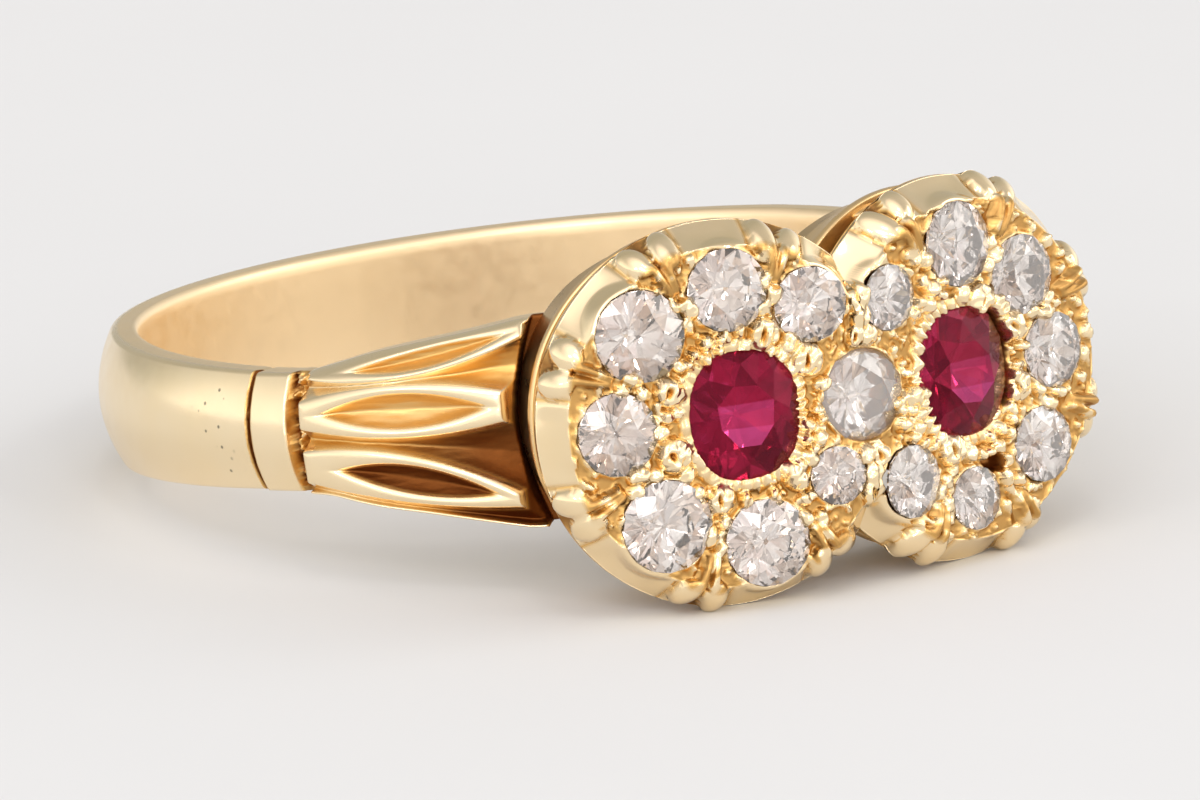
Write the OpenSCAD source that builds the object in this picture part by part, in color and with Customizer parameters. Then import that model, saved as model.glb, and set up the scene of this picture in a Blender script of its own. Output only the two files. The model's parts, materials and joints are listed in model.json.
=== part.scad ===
// Cluster ring: two round clusters of diamonds about a ruby each, on a band with leaf shoulders.
// The ring lies on its side. The face looks along -Y, and the finger hole runs nearly along Z.
// In the ring's own frame X is along the face, -Y is out through it, and Z is along the finger.

/* [Band] */
// Radius of the finger hole
bore_r = 8.6; // [7.4:0.1:10.6]
// Thickness of the band at its middle
band_t = 0.95; // [0.8:0.05:1.4]
// Thickness of the band at its edges
edge_t = 0.55; // [0.4:0.05:0.75]
// Half the width of the band at the back
back_half = 1.4; // [1.1:0.05:1.8]
// Half the width of the band at the collars
neck_half = 1.22; // [1:0.02:1.6]
// Half the width of the shoulders where they end
shoulder_half = 2.15; // [1.7:0.05:2.6]

/* [Collars and shoulders] */
// Angle from the head to the far side of each collar
collar_far = 72.4; // [70:0.2:76]
// Angle from the head to the near side of each collar
collar_near = 65.2; // [62:0.2:68]
// Angle from the head to the end of each shoulder
shoulder_end = 37.5; // [36:0.5:42]
// Thickness of the metal between the leaves
flute_t = 0.85; // [0.7:0.05:1]
// Thickness of the collars
collar_t = 1.08; // [1:0.02:1.4]
// Thickness of the metal at the top of the leaves
leaf_t = 1.26; // [1.1:0.02:1.6]
// Length of a leaf, before its blunt end is cut
leaf_l = 6.2; // [5:0.1:7]
// Width of a leaf
leaf_w = 0.95; // [0.7:0.05:1.1]
// Length of the hollow in a leaf
hollow_l = 3.8; // [3:0.1:4.4]
// Width of the hollow in a leaf
hollow_w = 0.55; // [0.3:0.05:0.6]
// Distance between the middles of two leaves
leaf_step = 1.2; // [1.1:0.05:1.4]
// Angle by which the outer leaves spread
leaf_fan = 11; // [5:1:14]

/* [Head] */
// Height of the face above the middle of the finger hole
face_v = 12.1; // [11.6:0.1:13]
// Angle by which each cluster leans away from the other
lean = 11.7; // [8:0.1:14]
// Distance from the middle of the head to the middle of each ruby, along the face
cluster_x = 2.68; // [2.5:0.02:2.9]
// Distance from each ruby to the middle of its rim, away from the other cluster
rim_shift = 0.25; // [0.1:0.05:0.35]
// Radius of the sharp rim of each cluster
rim_r = 3.92; // [3.8:0.02:4.2]
// Radius of the flat plate that holds the stones
plate_r = 3.42; // [3.3:0.02:3.6]
// Depth of the rim below the plate
rim_z = 0.78; // [0.5:0.02:1]
// Thickness of the plate
plate_t = 0.95; // [0.8:0.05:1.1]
// Radius of the pierced wall under the rim
wall_r = 3.52; // [3.4:0.02:3.6]
// Thickness of the pierced wall
wall_t = 0.32; // [0.25:0.01:0.45]
// Depth of the rail under the pierced wall
rail_z = 1.85; // [1.7:0.05:2]
// Number of windows round each pierced wall
windows = 12; // [8:1:16]
// Height of the clusters' feet above the finger hole
foot_lift = 0.25; // [0.2:0.05:0.4]

/* [Claws and grains] */
// Radius of a claw lobe at the rim
lobe_r = 0.26; // [0.18:0.02:0.3]
// Half the angle between the two lobes of a claw
lobe_apart = 4.6; // [3:0.2:6]
// Radius of the grains round a ruby
grain_r = 0.25; // [0.18:0.01:0.3]
// Radius of the grains between two diamonds
bead_r = 0.2; // [0.14:0.01:0.24]

/* [Stones] */
// Length of a ruby along the finger
ruby_l = 2.76; // [2.4:0.02:2.9]
// Width of a ruby along the face
ruby_w = 2.5; // [2.2:0.02:2.7]
// Depth of the rubies' girdles below the plate
ruby_low = 0.12; // [0:0.02:0.3]
// Diameter of the shared diamond
shared_d = 1.95; // [1.6:0.05:2.1]
// Depth of the shared diamond below the crossing of the two plates
shared_low = 0.3; // [0.2:0.02:0.4]
// Clearance between a stone and its seat
seat_gap = 0.04; // [0.02:0.01:0.06]

/* [Hidden] */
$fn = 64;
cut = 0.5;
core_r = bore_r + flute_t;
bridge_end = 20;
bridge_half = 1.9;
leaf_mid = (collar_near + shoulder_end) / 2;
groove = 1.2;

// Place and size of each diamond: angle about its ruby from +X, distance from it, diameter
ANGLE = 0;
REACH = 1;
DIAMETER = 2;
left_diamonds = [
    [51, 2.60, 1.55], [92, 2.57, 1.70], [137, 2.78, 1.90], [180, 2.71, 1.70],
    [227, 2.73, 1.90], [275, 2.65, 1.80], [321, 2.41, 1.20]
];
right_diamonds = [
    [0, 2.53, 1.55], [42, 2.49, 1.65], [86, 2.60, 1.75], [135, 2.62, 1.35],
    [229, 2.58, 1.50], [270, 2.60, 1.30], [317, 2.72, 1.55]
];
LEFT = -1;
RIGHT = 1;
function diamonds(side) = side == LEFT ? left_diamonds : right_diamonds;
function diamond_name(side, n) = str(side == LEFT ? "diamond_left_" : "diamond_right_", n + 1);

// Lowest edge of each rim, and the edge of the band that rests behind it
foot_z = rim_z + 0.16;
foot_v = face_v - (cluster_x + rim_shift) * sin(lean) - foot_z * cos(lean);
heel_v = bore_r + edge_t;
tilt = atan((rim_r - back_half) / (foot_v + heel_v));
rest_z = heel_v * sin(tilt) + back_half * cos(tilt);
face_proud = 0.3;
middle_v = (face_v + face_proud - bore_r - band_t) / 2;

// Lays the ring down, resting on both rims and the back of the band, over the origin
module lying() {
    translate([0, middle_v * cos(tilt), rest_z]) rotate([-tilt, 0, 0]) children();
}

// Turns to an angle from the head on one side, with +X outwards along the radius
module around(side, angle) {
    rotate([0, 0, -90 + side * angle]) children();
}

// One cluster's frame: its ruby's middle is the origin, +X along the face, +Y up, +Z outwards
module on_face(side) {
    translate([side * cluster_x * cos(lean), -(face_v - cluster_x * sin(lean)), 0])
        rotate([0, 0, side * lean]) rotate([90, 0, 0]) children();
}

module in_middle() {
    translate([0, -(face_v - shared_low), 0]) rotate([90, 0, 0]) children();
}

module at_diamond(side, n) {
    row = diamonds(side)[n];
    on_face(side) translate([row[REACH] * cos(row[ANGLE]), row[REACH] * sin(row[ANGLE]), 0])
        rotate(row[ANGLE]) children();
}

// Side view of the band and shoulders, carried right through
module side_outline() {
    near = bore_r + 2;
    rotate([90, 0, 90]) translate([0, 0, -near]) linear_extrude(2 * near) polygon([
        for (end = [1, -1], p = end > 0 ? side_points : [for (i = [len(side_points) - 1 : -1 : 0])
            side_points[i]]) [-p[0], end * p[1]]]);
}
side_points = [
    [-bore_r - 2, back_half], [-bore_r / 2, back_half], [core_r * cos(collar_far), neck_half],
    [core_r * cos(collar_near), neck_half + 0.16], [core_r * cos(shoulder_end), shoulder_half],
    [core_r * cos(shoulder_end) + 0.1, bridge_half], [bore_r + 2, bridge_half]
];

// Section of the band: flat inside, crowned outside
module crowned(thick, edge, half) {
    rise = thick - edge;
    crown_r = (half * half + rise * rise) / (2 * rise);
    intersection() {
        translate([bore_r - cut, -half - cut]) square([cut + thick, 2 * (half + cut)]);
        translate([bore_r + thick - crown_r, 0]) circle(r = crown_r, $fn = 128);
    }
}

// Part of a ring between two angles from the head, on one side
module arc_of(side, from, to) {
    around(side, side > 0 ? from : to) rotate_extrude(angle = to - from, $fn = 128) children();
}

// Plain metal under one shoulder and collar, which runs on under the head
module core(side) {
    arc_of(side, bridge_end, collar_far + groove)
        translate([bore_r - cut, -3]) square([cut + flute_t, 6]);
}

module back_band() {
    far = collar_far + groove / 2;
    around(RIGHT, far) rotate_extrude(angle = 360 - 2 * far, $fn = 128)
        crowned(band_t, edge_t, back_half);
}

module collar(side) {
    arc_of(side, collar_near, collar_far) crowned(collar_t, edge_t + 0.16, neck_half + 0.2);
}

module lens(long, wide) {
    arc_r = (long * long + wide * wide) / (4 * wide);
    intersection() {
        translate([arc_r - wide / 2, 0]) circle(r = arc_r, $fn = 128);
        translate([wide / 2 - arc_r, 0]) circle(r = arc_r, $fn = 128);
    }
}

// Three raised leaves with hollow middles, fanning out towards the head
module leaf_prisms(side, long, wide, floor_r) {
    for (k = [-1, 0, 1]) around(side, leaf_mid) rotate([0, 90, 0])
        translate([-k * leaf_step, 0, floor_r]) rotate(-side * k * leaf_fan)
            linear_extrude(2) lens(long, wide);
}

module leaves(side) {
    difference() {
        intersection() {
            leaf_prisms(side, leaf_l, leaf_w, bore_r + 0.3);
            arc_of(side, shoulder_end, collar_near - groove)
                translate([bore_r, -3]) square([leaf_t, 6]);
        }
        leaf_prisms(side, hollow_l, hollow_w, core_r + 0.14);
    }
}

module shank() {
    intersection() {
        union() {
            back_band();
            for (side = [LEFT, RIGHT]) {
                core(side);
                collar(side);
                leaves(side);
            }
        }
        side_outline();
    }
}

// Outside of one cluster: plate, bevel, sharp rim, wall, rail, and the foot down to the band
module cup(side) {
    foot_r = 3.2;
    on_face(side) translate([side * rim_shift, 0, 0]) rotate_extrude($fn = 128) polygon([
        [0, 0], [plate_r, 0], [rim_r, -rim_z], [rim_r, -foot_z], [wall_r, -foot_z - 0.12],
        [wall_r, -rail_z], [wall_r + 0.12, -rail_z], [wall_r + 0.12, -rail_z - 0.22],
        [foot_r, -rail_z - 0.9], [foot_r, -3.6], [0, -3.6]]);
}

module cup_hollow(side) {
    inner_r = wall_r - wall_t;
    on_face(side) translate([side * rim_shift, 0, 0]) rotate_extrude($fn = 128) polygon([
        [0, -plate_t], [inner_r, -plate_t], [inner_r, -rail_z], [inner_r - 0.4, -rail_z - 0.9],
        [inner_r - 0.4, -4], [0, -4]]);
}

// Windows all round, apart from where the two clusters meet
module cup_windows(side) {
    wide = 0.6 * 360 / windows;
    on_face(side) translate([side * rim_shift, 0, 0]) for (n = [0 : windows - 1])
        let (angle = n * 360 / windows) if (side * cos(angle) > -0.6)
            rotate(angle) translate([wall_r - 1, -wall_r * sin(wide / 2), -rail_z])
                cube([2, 2 * wall_r * sin(wide / 2), rail_z - foot_z - 0.12]);
}

// A claw's two lobes run up the bevel and end in a round tip over the plate's edge
module claws(side) {
    slope = atan((rim_r - plate_r) / rim_z);
    long = norm([rim_r - plate_r, rim_z]);
    for (n = [1 : 6]) on_face(side) translate([side * rim_shift, 0, 0])
        rotate((side == LEFT ? 22.5 : 202.5) + 45 * n) for (turn = [-lobe_apart, lobe_apart])
            rotate(turn) translate([rim_r - 0.12, 0, -rim_z + 0.06]) rotate([0, -slope, 0]) {
                cylinder(r1 = lobe_r, r2 = 0.7 * lobe_r, h = long);
                translate([0, 0, long]) sphere(r = 0.8 * lobe_r);
            }
}

// Grains round each ruby, and between neighbouring diamonds
module grains(side) {
    on_face(side) for (n = [0 : 7]) rotate(22.5 + 45 * n) {
        translate([1.72, 0, 0]) sphere(r = grain_r);
        if (side == LEFT || (n != 3 && n != 4)) translate([2.72, 0, 0]) sphere(r = bead_r);
    }
}

// Seat of a round stone: a straight well for its girdle, and an open cone under it
module seat(diameter, low) {
    r = diameter / 2 + seat_gap;
    lip = -low - 0.14;
    translate([0, 0, lip]) cylinder(r = r, h = 2);
    translate([0, 0, -plate_t - cut]) cylinder(r1 = 0.25 * r, r2 = r, h = plate_t + cut + lip);
}

module seats() {
    for (side = [LEFT, RIGHT]) {
        on_face(side) seat(ruby_l, ruby_low);
        for (n = [0 : len(diamonds(side)) - 1]) at_diamond(side, n)
            seat(diamonds(side)[n][DIAMETER], 0);
    }
    in_middle() seat(shared_d, 0);
}

module bore(r) {
    cylinder(r = r, h = 12, center = true, $fn = 128);
}

module ring_mount() {
    color("gold") lying() difference() {
        union() {
            shank();
            difference() {
                union() {
                    for (side = [LEFT, RIGHT]) {
                        cup(side);
                        claws(side);
                        grains(side);
                    }
                }
                for (side = [LEFT, RIGHT]) {
                    cup_hollow(side);
                    cup_windows(side);
                }
                seats();
                bore(bore_r + foot_lift);
            }
        }
        bore(bore_r);
    }
}

// A cut stone: octagonal table, crown facets, sixteen-sided girdle, pavilion and small culet
module cut_stone(long, wide) {
    r = long / 2;
    crown = 0.17 * long;
    pavilion = 0.4 * long;
    scale([wide / long, 1, 1]) hull() {
        translate([0, 0, -0.02 * long]) cylinder(r = r, h = 0.04 * long, $fn = 16);
        cylinder(r = 0.52 * r, h = crown, $fn = 8);
        rotate(22.5) cylinder(r = 0.8 * r, h = 0.64 * crown, $fn = 8);
        mirror([0, 0, 1]) cylinder(r = 0.1 * r, h = pavilion, $fn = 8);
        rotate(22.5) mirror([0, 0, 1]) cylinder(r = 0.56 * r, h = 0.5 * pavilion, $fn = 8);
    }
}

module ruby(side) {
    color("crimson") lying() on_face(side) translate([0, 0, -ruby_low])
        cut_stone(ruby_l, ruby_w);
}

module diamond_shared() {
    color("white") lying() in_middle() cut_stone(shared_d, shared_d);
}

module diamond(side, n) {
    d = diamonds(side)[n][DIAMETER];
    color("white") lying() at_diamond(side, n) cut_stone(d, d);
}

ring_mount();
ruby(LEFT);  // ruby_left
ruby(RIGHT);  // ruby_right
diamond_shared();
for (side = [LEFT, RIGHT], n = [0 : len(diamonds(side)) - 1])
    diamond(side, n);
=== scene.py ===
"""Looks of a ring with two round clusters of diamonds, each about a ruby, on a band with leaf shoulders.

The ring's own frame is (u, v, w) in millimetres: u runs along the face, v out through the head from the
middle of the finger hole, and w along the finger. to_world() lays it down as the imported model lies.
Each cluster has a frame (x, y, z) about its ruby: x runs along u, y along w, and z out of its face.
The two faces are one folded sheet, whose places are (p, q): p from the fold along the face, q along w.
"""

import json
import math
from types import SimpleNamespace

import bpy
import numpy as np
from bpy.props import FloatProperty, FloatVectorProperty, IntProperty, PointerProperty
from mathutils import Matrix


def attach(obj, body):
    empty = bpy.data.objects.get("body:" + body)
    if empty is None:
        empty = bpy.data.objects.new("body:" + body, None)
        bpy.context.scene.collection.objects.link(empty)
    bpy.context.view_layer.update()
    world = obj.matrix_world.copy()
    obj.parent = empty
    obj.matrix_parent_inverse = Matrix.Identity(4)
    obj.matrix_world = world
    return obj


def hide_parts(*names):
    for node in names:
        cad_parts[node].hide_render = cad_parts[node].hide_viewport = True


bl_info = {
    "name": "Twin cluster ring",
    "version": (1, 0, 0),
    "blender": (4, 5, 0),
    "location": "View3D > Sidebar > Ring",
    "description": "Builds a twin cluster ring of rubies and diamonds on a band with leaf shoulders",
    "category": "Add Mesh",
}

MM = 0.001

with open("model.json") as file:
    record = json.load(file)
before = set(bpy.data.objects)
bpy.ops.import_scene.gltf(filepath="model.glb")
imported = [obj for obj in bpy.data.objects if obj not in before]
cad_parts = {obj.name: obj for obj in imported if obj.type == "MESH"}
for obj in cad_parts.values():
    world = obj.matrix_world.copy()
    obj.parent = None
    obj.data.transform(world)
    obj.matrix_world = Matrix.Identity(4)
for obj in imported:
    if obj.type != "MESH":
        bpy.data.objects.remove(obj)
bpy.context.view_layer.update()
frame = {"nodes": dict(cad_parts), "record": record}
HOLE = frame["record"]["mounts"][0]
HOLE_MIDDLE = np.array(HOLE["pos_m"]) / MM
FINGER_AXIS = np.array(HOLE["axis"])
FACE_AXIS = np.array([0, -FINGER_AXIS[2], FINGER_AXIS[1]])
RING_AXES = np.array([[1, 0, 0], FACE_AXIS, FINGER_AXIS])
BORE = HOLE["dims"]["r_mm"]
LEFT, BETWEEN, RIGHT = -1, 0, 1
SIDES = {LEFT: "left", RIGHT: "right"}
METAL_NODE = "ring_mount"

# How far the feet of the clusters stand clear of the finger hole
FOOT_LIFT = 0.25

# A distance past any that occurs on the ring
FAR_OFF = 9.0


def to_world(u, v, w):
    """Places in the ring's frame, as rows of world coordinates in millimetres."""
    return np.stack(np.broadcast_arrays(u, v, w), -1) @ RING_AXES + HOLE_MIDDLE


def to_ring(points):
    """World places in metres, as u, v and w."""
    return ((points / MM - HOLE_MIDDLE) @ RING_AXES.T).T


# Settings that a user may change


def length(name, description, millimetres):
    return FloatProperty(name=name, description=description, default=millimetres * MM, unit="LENGTH",
                         precision=5)


def share(name, description, default):
    return FloatProperty(name=name, description=description, default=default, min=0, max=1,
                         subtype="FACTOR")


def angle(name, description, degrees):
    return FloatProperty(name=name, description=description, default=math.radians(degrees),
                         unit="ROTATION")


def colour(name, description, default):
    return FloatVectorProperty(name=name, description=description, default=default, size=3, min=0,
                               max=1, subtype="COLOR")


class RingBandSettings(bpy.types.PropertyGroup):
    """Sizes of the band, its collars and its shoulders"""

    middle: length("Middle thickness", "Thickness of the band at its middle", 0.95)
    edge: length("Edge thickness", "Thickness of the band at its edges", 0.55)
    back_half: length("Back half width", "Half the width of the band at the back", 1.4)
    neck_half: length("Neck half width", "Half the width of the band at the collars", 1.22)
    collar: length("Collar thickness", "Thickness of the collars", 1.08)
    leaf: length("Leaf thickness", "Thickness of the metal at the top of the leaves", 1.26)
    flute: length("Flute depth", "Greatest depth of the flutes between the leaves", 0.55)
    hollow: length("Hollow depth", "Greatest depth of the hollows in the leaves", 0.36)
    bridge: length("Bridge thickness", "Thickness of the metal that runs on under the head", 0.25)
    collar_far: angle("Collar far side", "Angle from the head to the far side of a collar", 72.4)
    collar_near: angle("Collar near side", "Angle from the head to the near side of a collar", 65.2)
    shoulder_end: angle("Shoulder end", "Angle from the head to the end of a shoulder", 36.3)


class RingClusterSettings(bpy.types.PropertyGroup):
    """Sizes of the two clusters and of the metal that holds their stones"""

    face: length("Face height", "Height of the face above the middle of the finger hole", 12.1)
    spread: length("Spread", "Distance from the fold to the middle of each ruby", 2.68)
    shift: length("Rim shift", "Distance from each ruby to the middle of its rim", 0.25)
    rim: length("Rim radius", "Radius of the sharp rim", 3.92)
    plate: length("Plate radius", "Radius of the flat plate that holds the stones", 3.42)
    drop: length("Rim drop", "Depth of the rim below the plate", 0.78)
    rim_edge: length("Rim edge", "Height of the rim's upright edge", 0.14)
    wall: length("Wall radius", "Radius of the pierced wall", 3.56)
    rail: length("Rail depth", "Depth of the rail under the pierced wall", 1.85)
    grain: length("Grain radius", "Radius of the grains round a ruby", 0.33)
    grain_height: length("Grain height", "Height of the grains over the plate", 0.26)
    claw_height: length("Claw height", "Height of the claws over the bevel", 0.27)
    scallop: length("Scallop depth", "Depth of the scallops between the claws", 0.07)
    lean: angle("Lean", "Angle by which each cluster leans away from the other", 11.7)
    windows: IntProperty(name="Windows", description="Windows round a whole pierced wall", default=12,
                         min=8, max=16)


class RingStoneSettings(bpy.types.PropertyGroup):
    """Proportions of the cut stones"""

    diamond_table: share("Diamond table", "Width of a diamond's table over its width", 0.48)
    diamond_crown: share("Diamond crown", "Height of a diamond's crown over its width", 0.16)
    ruby_table: share("Ruby table", "Width of a ruby's table over its width", 0.5)
    ruby_crown: share("Ruby crown", "Height of a ruby's crown over its width", 0.13)
    pavilion: share("Pavilion", "Depth of a stone's pavilion over its width", 0.43)


class RingFinishSettings(bpy.types.PropertyGroup):
    """Colours and finish of the metal and stones"""

    gold: colour("Gold", "Colour of the polished gold", (0.95, 0.765, 0.49))
    satin: colour("Satin gold", "Colour of the gold where its polish is soft", (0.98, 0.83, 0.58))
    # Painted shade: the recessed and dark gold stand partly for tarnish in the recesses and partly for the
    # shade that falls there
    recess: colour("Recessed gold", "Colour of the gold in shallow recesses", (0.76, 0.46, 0.15))
    shadow: colour("Dark gold", "Colour of the gold in the deepest recesses", (0.2, 0.065, 0.015))
    # Painted light and shade: a diamond's deep facets stand partly for dark reflections of the gold, and a
    # ruby's pale and deep facets for its lit table and shaded sides
    diamond: colour("Diamond", "Tint of the palest facets of a diamond", (1.0, 0.94, 0.89))
    diamond_deep: colour("Deep diamond", "Tint of a diamond's darkest facets", (0.4, 0.25, 0.16))
    ruby: colour("Ruby", "Colour of a ruby's brightest facets", (1.0, 0.125, 0.43))
    ruby_middle: colour("Middle ruby", "Colour of a ruby's facets of middle tone", (0.55, 0.018, 0.075))
    ruby_deep: colour("Deep ruby", "Colour of a ruby's darkest facets", (0.085, 0.0008, 0.003))
    ruby_gleam: colour("Ruby gleam", "Tint of the light that a ruby throws back", (0.75, 0.1, 0.2))
    polish: share("Polish", "Roughness of the polished gold", 0.12)


class RingStageSettings(bpy.types.PropertyGroup):
    """Floor, light and camera"""

    floor: colour("Floor", "Colour of the floor", (0.73, 0.738, 0.74))
    azimuth: angle("Camera azimuth", "Turn of the camera about the ring", -31.206)
    elevation: angle("Camera elevation", "Height of the camera as an angle", 15.167)
    roll: angle("Camera roll", "Turn of the camera about its own axis", -2.153)
    distance: length("Camera distance", "Distance from the camera to its target", 379.5)
    target_x: length("Target along X", "Place of the camera's target along X", 0.095)
    target_z: length("Target along Z", "Height of the camera's target", 1.725)
    lens: FloatProperty(name="Lens", description="Focal length for a sensor 36 mm wide", default=552,
                        unit="CAMERA")


def settings(name):
    """One settings group as plain values: lengths in millimetres and angles in radians."""
    group = getattr(bpy.context.scene, "ring_" + name)
    values = {}
    for item in group.bl_rna.properties:
        if item.identifier in ("rna_type", "name"):
            continue
        value = getattr(group, item.identifier)
        if item.type == "FLOAT" and item.unit == "LENGTH":
            value = value / MM
        values[item.identifier] = np.array(value) if getattr(item, "is_array", False) else value
    return SimpleNamespace(**values)


# Shaping helpers


def ease(x, low, high):
    """Runs smoothly from 0 at low to 1 at high."""
    t = np.clip((x - low) / (high - low), 0, 1)
    return t * t * (3 - 2 * t)


def dome(squared):
    """Height of a unit dome over the square of the distance from its middle."""
    return np.sqrt(np.clip(1 - squared, 0, None))


def bell(x):
    return np.exp(-x * x)


def mix(first, second, amount):
    return first + (second - first) * amount


def level_out(x, most):
    """Grows as x does from 0 on, ever more slowly, and never passes the most."""
    return most * (1 - np.exp(-np.clip(x, 0, None) / most))


def ripple(x, y, size, seed, waves=9):
    """Smooth uneven waves about 1 high and size long: a sum of sine waves in seeded directions."""
    draw = np.random.default_rng(seed)
    total = np.zeros(np.broadcast(x, y).shape)
    for turn, phase, stretch in zip(draw.uniform(0, math.pi, waves), draw.uniform(0, math.tau, waves),
                                    draw.uniform(0.6, 1.6, waves)):
        along = x * math.cos(turn) + y * math.sin(turn)
        total += np.sin(along * math.tau / (size * stretch) + phase)
    return total / math.sqrt(waves)


def grid_faces(rows, columns, wrap_rows=False, wrap_columns=False):
    """Quads between neighbouring rows and columns of a grid of vertex numbers."""
    number = np.arange(rows * columns).reshape(rows, columns)
    if wrap_rows:
        number = np.vstack([number, number[:1]])
    if wrap_columns:
        number = np.hstack([number, number[:, :1]])
    return np.stack([number[:-1, :-1], number[1:, :-1], number[1:, 1:], number[:-1, 1:]], -1)


def closed_tube(loops):
    """Rows of places round a closed section, joined row to row, with a fan to the middle of each end."""
    rows, columns = loops.shape[:2]
    ends = np.stack([loops[0].mean(0), loops[-1].mean(0)])
    places = np.concatenate([loops.reshape(-1, 3), ends])
    quads = grid_faces(rows, columns, wrap_columns=True).reshape(-1, 4)
    edge = np.arange(columns)
    after = np.roll(edge, -1)
    first = np.stack([edge, after, np.full(columns, rows * columns)], -1)
    last = np.stack([after, edge, np.full(columns, rows * columns + 1)], -1)
    last[:, :2] += (rows - 1) * columns
    return places, quads, np.concatenate([first, last])


def outward(places, quads, triangles):
    """The faces, turned over if the closed shape that they make is inside out."""
    corners = np.concatenate([quads[:, [0, 1, 2]], quads[:, [0, 2, 3]], triangles])
    a, b, c = (places[corners[:, i]] - places.mean(0) for i in range(3))
    if np.einsum("ij,ij->i", a, np.cross(b, c)).sum() < 0:
        return quads[:, ::-1], triangles[:, ::-1]
    return quads, triangles


NO_TRIANGLES = np.zeros((0, 3), int)


def add_object(name, data):
    item = bpy.data.objects.new(name, data)
    bpy.context.scene.collection.objects.link(item)
    return item


def new_piece(name, shapes, material, replaced, marks=None, tones=None):
    """Makes one object of closed shapes, each (places in mm in the world, quads, triangles).

    The marks are values for each place, by name, that the material reads. The tones are values for each
    face of a cut stone, whose faces stay flat.
    """
    places, faces, start = [], [], 0
    for spots, quads, triangles in shapes:
        quads, triangles = outward(spots, quads, triangles)
        faces += (quads + start).tolist() + (triangles + start).tolist()
        places.append(spots)
        start += len(spots)
    mesh = bpy.data.meshes.new(name)
    mesh.from_pydata((np.concatenate(places) * MM).tolist(), [], faces)
    mesh.polygons.foreach_set("use_smooth", np.full(len(faces), tones is None))
    for mark, values in (marks or {}).items():
        mesh.attributes.new(mark, "FLOAT", "POINT").data.foreach_set("value", np.float32(values))
    if tones is not None:
        mesh.attributes.new("tone", "FLOAT", "FACE").data.foreach_set("value", np.float32(tones))
    mesh.materials.append(material)
    mesh.update()
    piece = add_object(name, mesh)
    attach(piece, "root")
    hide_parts(replaced)


def new_metal(name, shapes, marks):
    """Makes one object of the mount's gold."""
    new_piece(name, shapes, gold_material(), METAL_NODE, marks)


# Materials


def principled(name):
    material = bpy.data.materials.get(name) or bpy.data.materials.new(name)
    material.use_nodes = True
    tree = material.node_tree
    return material, tree, tree.nodes["Principled BSDF"]


def feed(tree, socket, value):
    """Links a socket to the value if that is a socket too, or else sets it to the value."""
    if isinstance(value, bpy.types.NodeSocket):
        tree.links.new(value, socket)
    else:
        socket.default_value = value


def add_node(tree, kind, **values):
    """A node whose sockets that are named in values are fed with them."""
    node = tree.nodes.new(kind)
    for key, value in values.items():
        feed(tree, node.inputs[key.replace("_", " ")], value)
    return node


def add_noise(tree, place, scale, detail=3.0):
    return add_node(tree, "ShaderNodeTexNoise", Vector=place, Scale=scale, Detail=detail).outputs["Fac"]


def add_attribute(tree, name):
    node = add_node(tree, "ShaderNodeAttribute")
    node.attribute_name = name
    return node.outputs["Fac"]


def add_math(tree, operation, first, second):
    node = add_node(tree, "ShaderNodeMath")
    node.operation = operation
    for socket, value in zip(node.inputs, (first, second)):
        feed(tree, socket, value)
    return node.outputs["Value"]


def remap(tree, value, from_low, from_high, to_low, to_high):
    return add_node(tree, "ShaderNodeMapRange", Value=value, From_Min=from_low, From_Max=from_high,
                    To_Min=to_low, To_Max=to_high).outputs["Result"]


def blend_colours(tree, factor, first, second):
    node = tree.nodes.new("ShaderNodeMix")
    node.data_type = "RGBA"
    feed(tree, node.inputs["Factor"], factor)
    for key, value in (("A", first), ("B", second)):
        socket = next(s for s in node.inputs if s.name == key and s.type == "RGBA")
        feed(tree, socket, value if isinstance(value, bpy.types.NodeSocket) else (*value, 1))
    return next(s for s in node.outputs if s.type == "RGBA")


# Scales of the patterns in the materials, in cells a metre
GOLD_CLOUDS, GOLD_SMEARS, GOLD_WAVES, GOLD_BRUSHING, GOLD_PITS = 900, 2600, 1400, 9000, 3400
STONE_CLOUDS = 1500
FLOOR_CLOUDS = 60


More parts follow.
